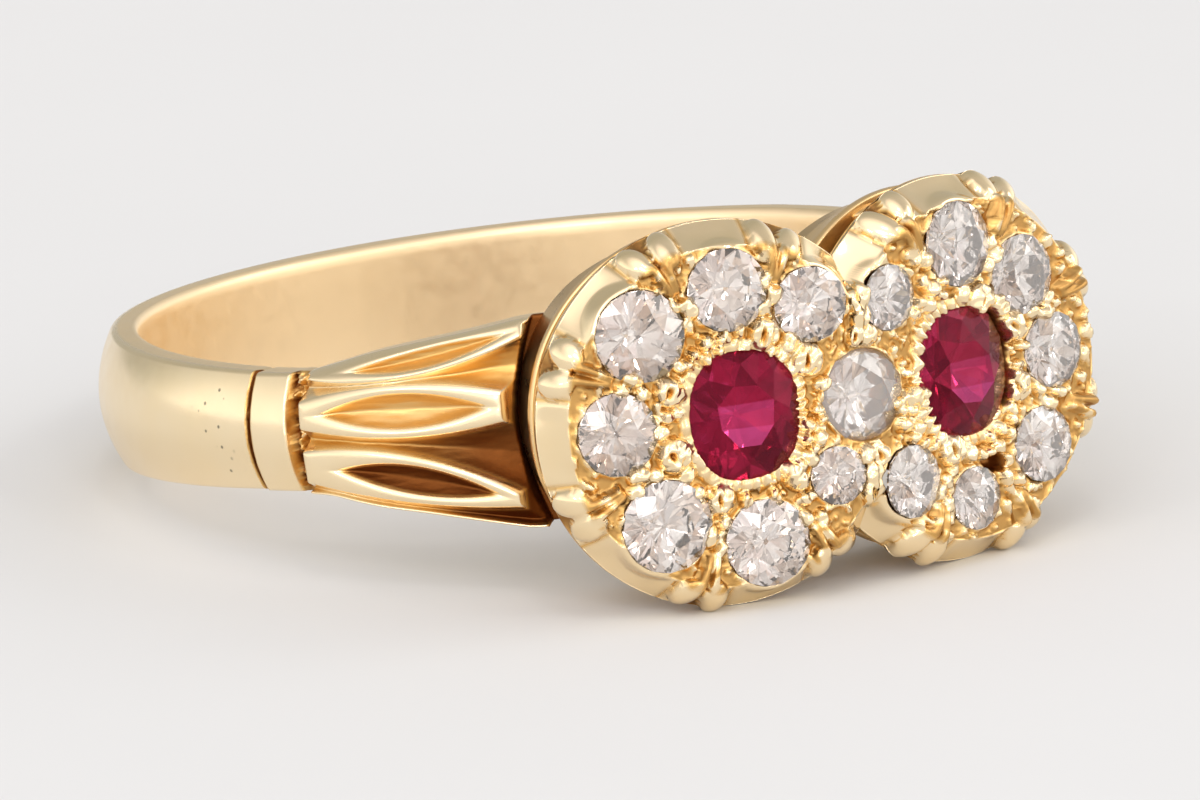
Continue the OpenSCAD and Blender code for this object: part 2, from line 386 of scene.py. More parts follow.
def gold_material():
    """Worn polished gold.

    Recesses are deeper in colour, partly tarnish and partly painted shade, and rougher and finely
    brushed; satin places are paler and softer, and small dark pits lie where the metal is porous.
    """
    finish = settings("finish")
    material, tree, shader = principled("worn_gold")
    if len(tree.nodes) > 2:
        return material
    place = add_node(tree, "ShaderNodeTexCoord").outputs["Object"]
    depth, satin, porous = (add_attribute(tree, mark) for mark in ("recess", "satin", "porous"))
    cloud = add_noise(tree, place, GOLD_CLOUDS)
    polished = blend_colours(tree, remap(tree, cloud, 0.35, 0.65, 0, 1), finish.gold,
                             finish.gold * (1, 0.98, 0.93))
    soft = blend_colours(tree, satin, polished, finish.satin)
    # Painted shade, partly tarnish: the higher the mark, the more the colour runs to the recessed and then
    # the dark gold
    shallow = blend_colours(tree, remap(tree, depth, 0, 0.5, 0, 1), soft, finish.recess)
    deep = blend_colours(tree, remap(tree, depth, 0.5, 1, 0, 1), shallow, finish.shadow)
    cells = add_node(tree, "ShaderNodeTexVoronoi", Vector=place, Scale=GOLD_PITS)
    dots = remap(tree, cells.outputs["Distance"], 0.1, 0.16, 1, 0)
    pits = add_math(tree, "MULTIPLY", dots, porous)
    tree.links.new(blend_colours(tree, pits, deep, finish.shadow * (0.5, 1.5, 5)),
                   shader.inputs["Base Color"])
    shader.inputs["Metallic"].default_value = 1
    smear = remap(tree, add_noise(tree, place, GOLD_SMEARS), 0.3, 0.7, finish.polish,
                  finish.polish + 0.08)
    worn = add_math(tree, "ADD", smear, remap(tree, depth, 0, 0.6, 0, 0.14))
    dull = add_math(tree, "ADD", worn, remap(tree, satin, 0, 1, 0, 0.24))
    tree.links.new(dull, shader.inputs["Roughness"])
    fine = add_noise(tree, place, GOLD_BRUSHING, 4.0)
    broad = add_noise(tree, place, GOLD_WAVES, 2.0)
    low = add_node(tree, "ShaderNodeBump", Height=broad, Strength=0.025, Distance=0.04 * MM)
    high = add_node(tree, "ShaderNodeBump", Height=fine, Distance=0.02 * MM,
                    Strength=remap(tree, depth, 0.15, 1, 0.01, 0.4), Normal=low.outputs["Normal"])
    tree.links.new(high.outputs["Normal"], shader.inputs["Normal"])
    return material


def stone_material(name, pale, middle, deep, gleam, index, clear):
    """A cut stone whose facets run from a pale to a deep colour, a little milky where clear is under 1.

    The gleam is the tint of its reflections, and the index is how strongly it bends light. The facets'
    tones are partly the stone's own colour and partly painted light and shade.
    """
    material, tree, shader = principled(name)
    shader.inputs["Transmission Weight"].default_value = clear
    shader.inputs["Roughness"].default_value = 0.0
    shader.inputs["IOR"].default_value = index
    shader.inputs["Specular Tint"].default_value = (*gleam, 1)
    if len(tree.nodes) > 2:
        return material
    place = add_node(tree, "ShaderNodeTexCoord").outputs["Object"]
    cloud = remap(tree, add_noise(tree, place, STONE_CLOUDS), 0.35, 0.7, -0.06, 0.1)
    tone = add_math(tree, "ADD", add_attribute(tree, "tone"), cloud)
    paler = blend_colours(tree, remap(tree, tone, 0, 0.5, 0, 1), pale, middle)
    tree.links.new(blend_colours(tree, remap(tree, tone, 0.5, 1, 0, 1), paler, deep),
                   shader.inputs["Base Color"])
    return material


# The band and its shoulders


# Width of a shoulder above and below the middle of the band, at angles from the head
SHOULDER_ANGLES = (33.5, 41, 48, 55, 61.5)
UPPER_EDGE = (2.13, 1.93, 1.77, 1.59, 1.34)
LOWER_EDGE = (2.19, 1.92, 1.68, 1.48, 1.2)

# The leaves, from the upper edge down: the middle and half the width of each at three angles from the
# head, the angles where it starts and ends, half the width of its hollow, the angles where the hollow
# starts and ends, and how dark the hollow is painted: painted shade, darkest in the lowest leaf, whose
# hollow faces down
LEAF_ANGLES = (62, 50, 38)
LEAVES = (
    SimpleNamespace(middle=(1.22, 1.4, 1.79), half=(0.1, 0.28, 0.22), start=62.8, end=34.6,
                    hollow=0.19, hollow_start=56.9, hollow_end=36.6, dark=0.55),
    SimpleNamespace(middle=(0.44, 0.47, 0.44), half=(0.34, 0.54, 0.33), start=63.7, end=37.4,
                    hollow=0.36, hollow_start=60.9, hollow_end=39.3, dark=0.44),
    SimpleNamespace(middle=(-0.65, -0.93, -1.42), half=(0.37, 0.49, 0.22), start=63.6, end=36.4,
                    hollow=0.3, hollow_start=59.1, hollow_end=39, dark=1.0),
)


def along_leaf(values, theta):
    """The parabola through three values at LEAF_ANGLES."""
    first, middle, last = values
    t = (LEAF_ANGLES[1] - theta) / (LEAF_ANGLES[1] - LEAF_ANGLES[2])
    return middle + (last - first) / 2 * t + ((first + last) / 2 - middle) * t * t


def band_edges(band, theta):
    """Places of the band's lower and upper edge at each angle from the head, in degrees.

    Widths at a few angles are joined by straight lines, smoothed by a mean over the angles nearby, and
    nicked at the ends of the collar.
    """
    far, near = math.degrees(band.collar_far), math.degrees(band.collar_near)
    bridge_half, back_from, back_to, smoothing = 2.1, 45, 184, 2.2
    angles = (0, SHOULDER_ANGLES[0] - 0.1, *SHOULDER_ANGLES, near, far, far + back_from, back_to)
    rest = (band.neck_half, band.neck_half, band.back_half, band.back_half)
    nicks = 0.05 * bell((theta - near + 1) / 0.7) + 0.03 * bell((theta - far) / 0.4)
    nearby = np.linspace(-smoothing, smoothing, 9)
    edges = []
    for edge in (LOWER_EDGE, UPPER_EDGE):
        widths = (bridge_half, bridge_half, *edge, *rest)
        smooth = sum(np.interp(np.abs(theta + step), angles, widths) for step in nearby) / len(nearby)
        edges.append(smooth - nicks)
    return -edges[0], edges[1]


def end_angle(band, w):
    """Angle from the head where a shoulder ends: its end follows the round wall of the head."""
    bend, half_width = 2.9, 2.1
    return math.degrees(band.shoulder_end) - bend * (w / half_width) ** 2


def shoulder_relief(band, theta, w, across, edge_gap, side):
    """Thickness of a shoulder, and how deep each place lies below its polished top.

    A leaf lies between two parabolas about its middle line, and its hollow between two narrower ones.
    The hollow is V-shaped, and the flutes slope down with the distance from the nearest leaf. The leaves
    are rounded off where they meet either, and the shoulder thins towards its edges. The second value is
    painted shade: the hollows and flutes are painted darker, most in the lowest leaf's hollow and the
    lower flutes, which face down, and in the flutes towards the head.
    """
    outside, hollow, dark = np.full(w.shape, FAR_OFF), np.full(w.shape, -FAR_OFF), np.zeros(w.shape)
    for leaf in LEAVES:
        b = np.abs(w - along_leaf(leaf.middle, theta))
        ends = np.radians(np.maximum(theta - leaf.start, leaf.end - theta)) * (BORE + band.leaf)
        outside = np.minimum(outside, np.maximum(b - along_leaf(leaf.half, theta), ends))
        half_run = (leaf.hollow_start - leaf.hollow_end) / 2
        run = (theta - leaf.hollow_end - half_run) / half_run
        inner = leaf.hollow * (1 - run * run) - b
        hollow = np.maximum(hollow, inner)
        # Painted shade in the hollows, darkest in the lowest leaf, whose hollow faces down
        dark = np.maximum(dark, leaf.dark * ease(inner, 0, 0.06))
    widening = ease(theta, 58, 40)
    flute_slope, bowl_slope, round_r = 2.1 - 0.1 * widening, 1.9, 0.05
    flute = level_out(outside * flute_slope, band.flute) * ease(edge_gap, 0.03, 0.13)
    bowl = level_out(hollow * bowl_slope, band.hollow)
    cut = np.maximum(flute, bowl)
    streaks = 0.005 * ripple(theta * 0.02, w, 0.1, 5 + side) * ease(cut, 0.03, 0.12)
    rounding = 0.06 * np.exp(-np.maximum(np.minimum(-outside, -hollow), 0) / round_r)
    # Painted shade in the flutes: darker on the lower side, which faces down, and towards the head
    low_side = ease(w, 0.7, -0.3)
    flute_dark = (0.5 + 0.5 * low_side) * ease(flute, 0.03, 0.2) * (0.55 + 0.45 * widening)
    thinner = 0.12 * across ** 2 + 0.45 * np.clip(across, 0, 1) ** 6
    sunk = np.maximum(np.where(flute > bowl, flute_dark, 0), dark)
    return band.leaf - thinner - rounding - cut + streaks, sunk


def shank_thickness(band, theta, w, low, high, side):
    """Thickness of the band at each place, and how deep it lies in a recess.

    From the back to the head there follow the plain band, a fine line, the collar, a rough groove, the
    leaves and the bridge under the head. Each eases into the next over a fraction of a degree. The gold is
    painted darker, partly tarnish and partly painted shade, in the line, the groove, the hollows and flutes
    of the leaves, and under the head.
    """
    far, near = math.degrees(band.collar_far), math.degrees(band.collar_near)
    end = end_angle(band, w)
    across, edge_gap = (2 * w - low - high) / (high - low), np.minimum(w - low, high - w)
    crown = across ** 2
    mm_a_degree, collar_lift, line_depth, round_r = 0.17, 0.16, 0.15, 0.07
    along = theta * mm_a_degree
    grit = ripple(along, w, 0.3, 11 + side) + 0.6 * ripple(along, w, 0.13, 13 + side)
    groove = 0.64 + 0.09 * grit - 0.1 * crown
    leaves, sunk = shoulder_relief(band, theta, w, across, edge_gap, side)
    thick = band.middle - (band.middle - band.edge) * crown
    collar = band.collar - (band.collar - band.edge - collar_lift) * crown
    thick = mix(thick, collar, ease(theta, far + 0.2, far - 0.15))
    thick = mix(thick, groove, ease(theta, near + 1.1, near + 0.8))
    thick = mix(thick, leaves, ease(theta, near - 1.4, near - 1.75))
    thick = mix(thick, band.bridge, ease(theta, end + 0.25, end - 0.1))
    line_gap = np.abs(theta - far + 0.03 * grit)
    over = np.clip((round_r - edge_gap) / round_r, 0, 1)
    thick = thick - line_depth * ease(line_gap, 0.75, 0.35) - round_r * (1 - dome(over * over))
    # Painted shade in the groove, darkest on its side towards the collar
    grooved = ease(theta, near + 1.15, near + 0.85) * ease(theta, near - 2.0, near - 1.4)
    shaded = 0.45 * ease(theta, near - 0.2, near + 0.8)
    # Painted shade, partly tarnish, in the leaves' hollows and flutes and in the fine line and its walls
    deep = np.maximum(sunk * ease(theta, near - 1.3, near - 1.7), ease(line_gap, 0.95, 0.6))
    deep = np.maximum(deep, grooved * np.clip(0.52 + shaded - 0.2 * grit, 0, 1))
    # Painted shade under the head, where the band runs on as the bridge
    return thick, np.maximum(deep, ease(theta, end + 0.4, end + 0.1))


def shank_shape(band):
    """The band, as a closed section carried round the finger hole.

    A place has a turn from the head round the hole and a place round the section: over the outer face,
    round one edge, back along the hole and round the other edge. The outer places crowd together at the
    edges, and the turns at the shoulders.
    """
    start, shoulder_from, shoulder_to = 20, 33, 73.6
    bridge_rows, shoulder_rows, back_rows, outer_columns, inner_columns = 8, 204, 80, 117, 17
    half_turn = np.concatenate([
        np.linspace(start, shoulder_from, bridge_rows, endpoint=False),
        np.linspace(shoulder_from, shoulder_to, shoulder_rows, endpoint=False),
        np.linspace(shoulder_to, 180, back_rows)])
    turn = np.concatenate([half_turn, 360 - half_turn[-2::-1]])[:, None]
    theta = np.minimum(turn, 360 - turn)
    side = np.where(turn < 180, RIGHT, LEFT)
    low, high = band_edges(band, theta)
    s = np.linspace(0, 1, outer_columns)[None]
    w = low + (high - low) * (s - 0.045 * np.sin(s * math.tau))
    thick, deep = np.empty(w.shape), np.empty(w.shape)
    for one in SIDES:
        rows = side[:, 0] == one
        thick[rows], deep[rows] = shank_thickness(band, theta[rows], w[rows], low[rows], high[rows], one)
    inner_round = 0.06
    down = np.linspace(0.2, 0.8, 3)[None]
    high_edge = thick[:, -1:] * (1 - down) + inner_round * down
    low_edge = (thick[:, :1] * (1 - down) + inner_round * down)[:, ::-1]
    across = np.linspace(1, 0, inner_columns)[None]
    over = np.clip((np.abs(2 * across - 1) - 0.9) / 0.1, 0, 1)
    inner_lift = inner_round * (1 - dome(over ** 2))
    radius = np.hstack([thick, high_edge, inner_lift * np.ones_like(high), low_edge]) + BORE
    width = np.hstack([w, high * np.ones_like(down), low + (high - low) * across,
                       low * np.ones_like(down)])
    radians = np.radians(turn)
    loops = to_world(radius * np.sin(radians), radius * np.cos(radians), width)
    rest = np.ones((len(turn), radius.shape[1] - w.shape[1]))
    # Painted reflection: the inside of the band and its rounded edges are a little deeper in colour, as gold
    # lit by light thrown back from gold
    worn_satin, inner_shade, inner_satin, pitted_at = 0.3, 0.13, 0.9, 79
    porous = np.where(side == LEFT, bell((theta - pitted_at) / 2.4), 0) * ease(np.abs(w), 1.0, 0.8)
    marks = {"recess": np.hstack([deep, inner_shade * rest]),
             "satin": np.hstack([np.maximum(0.8 * deep, worn_satin), inner_satin * rest]),
             "porous": np.hstack([porous, 0 * rest])}
    return closed_tube(loops), {mark: np.append(values.ravel(), [0, 0]) for mark, values in marks.items()}


# The clusters


def cluster_to_ring(cluster, side, x, y, z):
    """A place in a cluster's frame, as u, v and w."""
    lean = cluster.lean
    reach = side * cluster.spread + x
    u = reach * math.cos(lean) + z * side * math.sin(lean)
    v = cluster.face - side * reach * math.sin(lean) + z * math.cos(lean)
    return u, v, y


# How far below the face the rubies lie, and the diamond between the clusters
RUBY_LOW, SHARED_LOW = 0.12, 0.3


def measured_stones(cluster):
    """Each stone's place p and q on the sheet and half its width and height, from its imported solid."""
    stones = {}
    for name, node in frame["nodes"].items():
        if name == METAL_NODE:
            continue
        places = np.empty(len(node.data.vertices) * 3)
        node.data.vertices.foreach_get("co", places)
        u, v, w = to_ring(places.reshape(-1, 3))
        side = BETWEEN if "shared" in name else LEFT if "left" in name else RIGHT
        lean = cluster.lean if side else 0
        along = u * math.cos(lean) - side * (v - cluster.face) * math.sin(lean)
        stones[name] = SimpleNamespace(
            name=name, side=side, p=(along.min() + along.max()) / 2, q=(w.min() + w.max()) / 2,
            half_x=np.ptp(along) / 2, half_y=np.ptp(w) / 2, low=RUBY_LOW if "ruby" in name else 0.0)
    return stones


def fold_drop(cluster, p):
    """How far the sheet lies below the two flat faces: the fold between them is rounded and pressed in."""
    round_r, pressed, pressed_half = 0.42, 0.03, 0.7
    rounding = np.sqrt(p * p + round_r ** 2) - np.abs(p)
    return math.sin(cluster.lean) * rounding + pressed * bell(p / pressed_half)


def claw_angles(stones, side):
    """Angles about a ruby of the gaps between neighbouring diamonds that reach the rim."""
    ruby = stones["ruby_" + SIDES[side]]
    turns = []
    for stone in stones.values():
        if stone.side == side and stone is not ruby:
            turns.append(math.atan2(stone.q - ruby.q, side * (stone.p - ruby.p)))
    turns = np.sort(turns)
    return (turns[:-1] + turns[1:]) / 2


BEAD_SEED, CLAW_SEED = 21, 40

# The grains round each ruby: the turn of each from +X about it, its distance, and its form
GRAINS = {
    LEFT: ((31, 1.72, "slit"), (70, 1.7, "slit"), (115, 1.56, "cluster"), (156, 1.65, "pit"),
           (201, 1.67, "pit"), (249, 1.72, "slit"), (304, 1.68, "pointed"), (339, 1.56, "cluster")),
    RIGHT: ((25, 1.62, "pit"), (66, 1.56, "slit"), (114, 1.84, "cluster"), (189, 1.46, "pointed"),
            (206, 1.8, "cluster"), (251, 1.6, "slit"), (297, 1.68, "cluster"), (339, 1.5, "slit")),
}


def bead_list(cluster, stones):
    """Domes on the sheet.

    Each has a place p and q, a radius across, a stretch along its heading, a height, and half the width
    and half the length of a hole in its side, or 0.
    """
    draw = np.random.default_rng(BEAD_SEED)
    beads = []

    def bead(p, q, r, high, heading=0.0, stretch=1.0, hole=(0.0, 0.0)):
        beads.append(SimpleNamespace(
            p=p + draw.normal(0, 0.02), q=q + draw.normal(0, 0.02), r=r * draw.uniform(0.9, 1.1),
            high=high * draw.uniform(0.88, 1.12), heading=heading, stretch=stretch, hole=hole,
            slant=draw.uniform(-0.6, 0.6)))

    def round_ruby(ruby, turn, reach, r, high, stretch=1.0, hole=(0.0, 0.0)):
        at = math.radians(turn)
        bead(ruby.p + reach * math.cos(at), ruby.q + reach * math.sin(at), r, high, at, stretch, hole)

    for side, word in SIDES.items():
        ruby = stones["ruby_" + word]
        r, high = cluster.grain, cluster.grain_height
        for turn, reach, form in GRAINS[side]:
            if form == "cluster":
                for twist, step, size in ((-8, -0.12, 0.42), (4, -0.14, 0.5), (-3, 0.13, 0.52),
                                          (9, 0.1, 0.4), (-12, 0.1, 0.34)):
                    round_ruby(ruby, turn + twist, reach + step, size * r, high * 0.85)
            elif form == "pointed":
                round_ruby(ruby, turn, reach, 0.7 * r, high * 1.1, 1.5)
                round_ruby(ruby, turn + 9, reach - 0.12, 0.45 * r, high * 0.8)
            else:
                round_ruby(ruby, turn, reach, r, high, 1.05, (0.05, 0.1) if form == "pit" else (0.032, 0.15))
            for twist, step in ((17, 0.02), (-18, 0.1)):
                round_ruby(ruby, turn + twist, reach + step, draw.uniform(0.1, 0.17), 0.15, 1.3)
        for claw in claw_angles(stones, side):
            turn = math.degrees(math.atan2(math.sin(claw), side * math.cos(claw)))
            round_ruby(ruby, turn + 2, 2.2, 0.14, 0.13, 1.2)
            round_ruby(ruby, turn - 3, 2.5, 0.16, 0.2, 1.5)
            round_ruby(ruby, turn + 3, 2.72, 0.14, 0.15, 1.3)
    middle = stones["diamond_shared"]
    for away, reach, size, tall, hole in ((0.17, 1.2, 0.2, 0.2, 0.0), (-0.17, 1.26, 0.2, 0.2, 0.04),
                                          (0.02, 1.6, 0.24, 0.22, 0.0), (0.06, 2.0, 0.25, 0.2, 0.04)):
        for half in (1, -1):
            bead(middle.p + half * away, middle.q + half * reach, size, tall, 1.2, 1.2, (hole, 2.5 * hole))
    return beads


# Places where the metal is missing: cluster, place about its ruby, half sizes and depth
HOLLOWS = (
    SimpleNamespace(side=RIGHT, x=0.6, y=-1.98, half_x=0.3, half_y=0.2, depth=0.34),
    SimpleNamespace(side=LEFT, x=-1.62, y=2.42, half_x=0.16, half_y=0.13, depth=0.22),
)


def claw_list(stones, side):
    """The claws of one cluster: the turn of each about its ruby, its tip, and the two petals it ends in.

    Distances along a claw run from the edge of the plate, down the bevel.
    """
    draw = np.random.default_rng(CLAW_SEED + side)
    lower = 0.12 if side == RIGHT else 0.0
    claws = []
    for turn in claw_angles(stones, side):
        petals = [SimpleNamespace(aside=sign * draw.uniform(0.27, 0.33), long=draw.uniform(0.45, 0.56),
                                  middle=draw.uniform(0.36, 0.48) + lower, wide=draw.uniform(0.29, 0.34),
                                  tall=draw.uniform(0.72, 0.95)) for sign in (-1, 1)]
        claws.append(SimpleNamespace(turn=turn, tip=draw.uniform(-0.75, -0.55), petals=petals))
    return claws


def claw_relief(cluster, claws, side, x, y, k, past):
    """Height of the claws over the bevel, and how deep each place lies in their grooves.

    A claw ends in two egg-shaped petals on the bevel, with a V-shaped groove of fine lines between them
    and a crease on either side. Two thin ridges run from the petals to its tip. Between the claws the
    bevel is cut in scallops, deepest half way down it and half way from claw to claw. The grooves and
    creases are painted darker, partly tarnish and partly painted shade.
    """
    high, nearest = np.full(x.shape, -FAR_OFF), np.full(x.shape, FAR_OFF)
    groove, deep = np.zeros(x.shape), np.zeros(x.shape)
    petal_reach, petal_edge, petal_middle, widening, ridge_end, ridge_height = 0.3, 0.3, 0.42, 0.5, 0.25, 0.8
    line_spacing, line_depth, groove_depth, crease_depth = 0.075, 0.012, 0.14, 0.045
    for claw in claws:
        cosine, sine = side * math.cos(claw.turn), math.sin(claw.turn)
        ahead = x * cosine + y * sine > 0
        offset = y * cosine - x * sine
        aside = np.abs(offset)
        lobes = []
        for petal in claw.petals:
            line = petal.aside * (1 + widening * (past - petal.middle))
            lobes.append(petal.tall * dome(((offset - line) / petal.wide) ** 2
                                           + ((past - petal.middle) / petal.long) ** 2))
        run = np.clip((past - claw.tip) / (ridge_end - claw.tip), 0, 1)
        ridge = ridge_height * dome(((aside - 0.06 - 0.1 * run) / (0.08 + 0.04 * run)) ** 2)
        lobes.append(ridge * dome((2 * run - 1) ** 2))
        for lobe in lobes:
            high = np.maximum(high, np.where(ahead & (lobe > 0), cluster.claw_height * lobe, -FAR_OFF))
        spread = petal_reach * (1 + widening * (past - petal_middle))
        outer = aside - spread - petal_edge
        inner = np.clip(1 - aside / spread, 0, 1) * ease(past, -0.3, 0) * ahead
        lines = line_depth * np.cos(offset * math.tau / line_spacing) * ease(inner, 0, 0.2)
        groove = np.minimum(groove, np.where(inner > 0, lines - groove_depth * inner, 0))
        crease = bell((outer - 0.03) / 0.05) * ahead * ease(past, -0.1, 0.15)
        groove = groove - crease_depth * crease
        # Painted shade, partly tarnish, in the grooves and creases
        deep = np.maximum(deep, np.maximum(ease(inner, 0, 0.12) * (0.6 + 0.3 * inner), 0.5 * crease))
        nearest = np.where(ahead, np.minimum(nearest, np.maximum(outer, 0)), nearest)
    scallop = cluster.scallop * np.sin(math.pi * np.clip(k, 0, 1)) * ease(nearest, 0.1, 0.45)
    return np.where(high > -1, high, groove - scallop), np.where(high > 0.08, 0, deep)


# How far the rubies' outline is from an ellipse towards a rounded rectangle
CUSHION = 0.06


def cushion_swell(turn, squareness):
    """Radius of a rounded rectangle at a turn, over that of the ellipse."""
    return (1 + squareness * (0.5 - 0.5 * np.cos(4 * turn))) / (1 + squareness * 0.5)


# How far the metal reaches in over a stone's edge, how far under the stone its seat begins, and how
# steeply the seat runs down from there
SEAT_REACH, SEAT_DROP, SEAT_SLOPE = 0.015, 0.05, 1.75


def edge_gap(stone, p, q):
    """Distance past a stone's seat, share of the way from its middle, its size, and the ribs round it.

    The ribs are fine teeth of metal round a ruby's seat, highest towards the fold. Each stands proud and
    reaches over the ruby's edge. On the far side the ruby's seat is a little narrower.
    """
    size = (stone.half_x + stone.half_y) / 2
    dx, dy = (p - stone.p) / stone.half_x, (q - stone.q) / stone.half_y
    e = np.sqrt(dx * dx + dy * dy) + 1e-9
    if "ruby" not in stone.name:
        return (e - 1) * size + SEAT_REACH, e, size, np.zeros(e.shape)
    turn = np.arctan2(dy, dx)
    e = e / cushion_swell(turn, CUSHION)
    near_fold, far_side = ease(-stone.side * dx / e, -0.1, 0.6), ease(stone.side * dx / e, 0.3, 0.9)
    teeth, ruby_reach, far_reach = 32, 0.01, 0.045
    ribs = 0.5 + 0.5 * np.cos(turn * teeth + 2.5 * np.sin(turn * 3) + 1.5 * np.sin(turn * 5 + 1))
    ribs = ribs * (0.25 + 0.75 * near_fold)
    uneven = np.clip(0.8 + 0.6 * ripple(turn * 0.7, turn * 0, 0.5, 31), 0, 1.6)
    gap = (e - 1) * size + SEAT_REACH + ruby_reach + far_reach * far_side
    return gap + (0.03 + 0.05 * near_fold) * ribs * uneven, e, size, ribs


def crevice(ruby, p, q):
    """Depth, up to 1, of the narrow gap that is open along the far edge of the right ruby."""
    gap, e, _, _ = edge_gap(ruby, p, q)
    dx, dy = (p - ruby.p) / ruby.half_x / e, (q - ruby.q) / ruby.half_y / e
    return ease(dx, 0.5, 0.8) * ease(dy, -0.75, -0.45) * bell((gap - 0.07) / 0.075)


def draw_to_edges(stones, p, q, weight):
    """Moves places on the sheet towards the nearest stone's edge, so that the seats come out crisp."""
    width = 0.1
    for stone in stones.values():
        gap, e, size, _ = edge_gap(stone, p, q)
        pull = -gap * bell(gap / width) * weight / size / e
        p, q = p + (p - stone.p) * pull, q + (q - stone.q) * pull
    return p, q


def missing_metal(stones, p, q):
    """Depth of the crevice and of the hollows in the sheet."""
    crevice_depth = 0.4
    missing = crevice_depth * crevice(stones["ruby_right"], p, q)
    for hollow in HOLLOWS:
        ruby = stones["ruby_" + SIDES[hollow.side]]
        away2 = (((p - ruby.p - hollow.x) / hollow.half_x) ** 2
                 + ((q - ruby.q - hollow.y) / hollow.half_y) ** 2)
        missing = np.maximum(missing, hollow.depth * dome(away2))
    return missing


def bead_relief(beads, p, q):
    """Height of the beads, far below the sheet where there is none, and how far each place is in a hole."""
    high, holes = np.full(p.shape, -FAR_OFF), np.zeros(p.shape)
    hole_shift, hole_depth = 0.22, 0.2
    for bead in beads:
        dx, dy = p - bead.p, q - bead.q
        along = dx * math.cos(bead.heading) + dy * math.sin(bead.heading)
        across = dy * math.cos(bead.heading) - dx * math.sin(bead.heading)
        away2 = (along / bead.r / bead.stretch) ** 2 + (across / bead.r) ** 2
        shape = bead.high * dome(away2)
        half_wide, half_long = bead.hole
        if half_wide:
            left = dx + hole_shift * bead.r
            hole = bell((left - bead.slant * dy) / half_wide) * bell(dy / half_long) * (away2 < 1)
            shape = shape - hole_depth * hole
            holes = np.maximum(holes, hole)
        high = np.maximum(high, np.where(away2 < 1, shape, -FAR_OFF))
    return high, holes


def sheet_relief(stones, beads, p, q):
    """Height of the sheet with its seats and beads, how deep each place lies, where stones sit, and how
    close each place is to one, from 0 to 1.

    The ground is lumpy: its crests are rounded and the crevices between them narrow. It rises to a
    toothed collar round each ruby and to a thin uneven lip round each diamond. The lower a place lies, the
    darker it is painted, and the grains' holes too: partly tarnish and partly painted shade.
    """
    lumps = np.abs(ripple(p, q, 0.55, 3)) + 0.5 * np.abs(ripple(p, q, 0.26, 4))
    ground = -0.26 + 0.19 * np.minimum(lumps, 1.6)
    lip = 0.04 * ripple(p, q, 0.4, 6) - 0.02
    seat, nearest = np.full(p.shape, FAR_OFF), np.full(p.shape, FAR_OFF)
    for stone in stones.values():
        gap, e, size, ribs = edge_gap(stone, p, q)
        nearest = np.minimum(nearest, gap)
        if "ruby" in stone.name:
            ground = np.maximum(ground, -0.1 + (0.09 + 0.11 * ribs) * dome(((gap - 0.1) / 0.17) ** 2))
        else:
            ground = mix(ground, lip, bell((gap - 0.02) / 0.07))
        well = -stone.low - SEAT_DROP - np.clip(1 - e, 0, 1) * SEAT_SLOPE * size
        seat = np.minimum(seat, np.where(gap < 0, well, FAR_OFF))
    missing = missing_metal(stones, p, q)
    high, holes = bead_relief(beads, p, q)
    high = high + 0.035 * ripple(p, q, 0.2, 9) * ease(high, 0, 0.1) - 1.2 * missing
    top = np.maximum(np.minimum(ground - missing, seat), high)
    # Painted shade, partly tarnish: darker the lower a place lies, and in the grains' holes
    deep = np.maximum(0.95 * np.clip((0.04 - top) / 0.19, 0, 1), ease(holes, 0.2, 0.8))
    return top, deep, seat < FAR_OFF, ease(nearest, 0.2, 0.05)


def face_rays(cluster, phi):
    """Places along rays from a ruby: out over the plate and down the bevel to the rim.

    A ray that meets the fold first stops there, and is trimmed. Each place has its distance rho from the
    ruby, its height, its share k of the bevel, how far past the plate it lies, and the share by which it
    is free to move along the sheet, which falls to 0 on the bevel and at the fold. The surface's normal
    there has a part out along the ray and a part up.
    """
    plate_steps, bevel_steps, plate_part, trials = 84, 30, 0.72, 500

    def reach(radius):
        """Distance from the ruby to a circle about the middle of the rim."""
        return cluster.shift * np.cos(phi) + np.sqrt(radius ** 2 - (cluster.shift * np.sin(phi)) ** 2)

    inner, plate, rim = 0.72, reach(cluster.plate), reach(cluster.rim)
    level, slope = plate - inner, np.hypot(rim - plate, cluster.drop)
    whole = level + slope

    def ray(s):
        """Distance from the ruby, height and bevel share at s millimetres along the rays."""
        k = np.clip((s - level) / slope, 0, 1)
        rho = np.minimum(inner + s, plate) + (rim - plate) * k
        height = -cluster.drop * k - fold_drop(cluster, cluster.spread + rho * np.cos(phi))
        return rho, height, k

    fine = whole * np.linspace(0, 1, trials)[None]
    rho, height, k = ray(fine)
    room = ((cluster.spread + rho * np.cos(phi)) * math.cos(cluster.lean)
            + height * math.sin(cluster.lean))
    trimmed = (room < 0).any(1)[:, None]
    cut = np.where(trimmed, (room < 0).argmax(1)[:, None], trials - 1)
    stop = np.take_along_axis(fine, cut, 1)
    steps = np.concatenate([np.linspace(0, plate_part, plate_steps, endpoint=False),
                            np.linspace(plate_part, 1, bevel_steps)])[None]
    plate_share = level / whole
    on_bevel = plate_share + (steps - plate_part) / (1 - plate_part) * (1 - plate_share)
    untrimmed = np.where(steps < plate_part, steps / plate_part * plate_share, on_bevel)
    s = stop * np.where(trimmed, steps, untrimmed)
    rho, height, k = ray(s)
    free = ease(whole - s, 0, 0.25) * ease(stop - s, 0, 0.2) * (1 - ease(k, 0, 0.1))
    normal_out = ease(s - level, -0.05, 0.09) * cluster.drop / slope
    return SimpleNamespace(rho=rho, height=height, k=k, past=s - level, free=free, trimmed=trimmed,
                           normal_out=normal_out, normal_up=np.sqrt(1 - normal_out ** 2))


